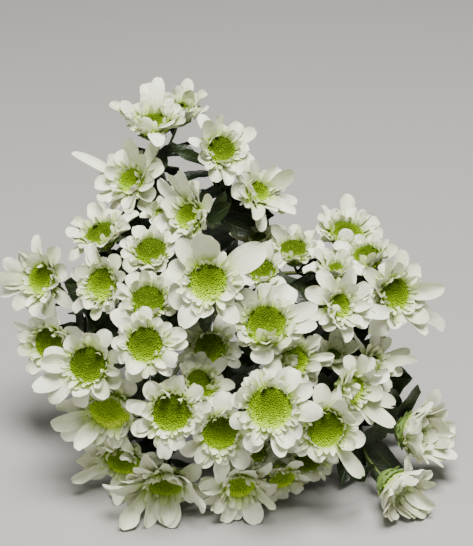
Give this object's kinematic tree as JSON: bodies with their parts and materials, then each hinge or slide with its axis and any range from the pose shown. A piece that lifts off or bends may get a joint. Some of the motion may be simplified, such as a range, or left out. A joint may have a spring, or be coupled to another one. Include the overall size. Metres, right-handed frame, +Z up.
{
  "type": "chrysanthemum spray",
  "caption": "Cut chrysanthemum spray: a dome of white, green-eyed daisy-like blooms on forked branches of one woody stem with lobed leaves, lying down.",
  "frame": {"origin": "on the table, under the middle of the spray's bounding box", "axes": "+Z up from the table; +Y along the stem from the blooms towards the cut end; +X to the right seen from the blooms' side"},
  "size_m": [0.2762, 0.5028, 0.2174],
  "materials": {
    "petal": "soft matte fresh petals",
    "stem": "ridged green, slightly waxy stem",
    "leaf": "dark green leaf, satin with pale veins"
  },
  "bodies": {
    "root": {"bloom_01": "petal", "bloom_02": "petal", "bloom_03": "petal", "bloom_04": "petal", "bloom_05": "petal", "bloom_06": "petal", "bloom_07": "petal", "bloom_08": "petal", "bloom_09": "petal", "bloom_10": "petal", "bloom_11": "petal", "bloom_12": "petal", "bloom_13": "petal", "bloom_14": "petal", "bloom_15": "petal", "bloom_16": "petal", "bloom_17": "petal", "bloom_18": "petal", "bloom_19": "petal", "bloom_20": "petal", "bloom_21": "petal", "bloom_22": "petal", "bloom_23": "petal", "bloom_24": "petal", "bloom_25": "petal", "bloom_26": "petal", "bloom_27": "petal", "bloom_28": "petal", "bloom_29": "petal", "bloom_30": "petal", "bloom_31": "petal", "bloom_32": "petal", "bloom_33": "petal", "bloom_34": "petal", "bloom_35": "petal", "bloom_36": "petal", "bloom_37": "petal", "bloom_38": "petal", "bloom_39": "petal", "bloom_40": "petal", "bloom_41": "petal", "bloom_42": "petal", "bloom_43": "petal", "bloom_44": "petal", "stem": "stem", "leaf_01": "leaf", "leaf_02": "leaf", "leaf_03": "leaf", "leaf_04": "leaf", "leaf_05": "leaf", "leaf_06": "leaf", "leaf_07": "leaf", "leaf_08": "leaf", "leaf_09": "leaf", "leaf_10": "leaf", "leaf_11": "leaf", "leaf_12": "leaf", "leaf_13": "leaf", "stem_leaf_1": "leaf", "stem_leaf_2": "leaf"}
  },
  "joints": []
}
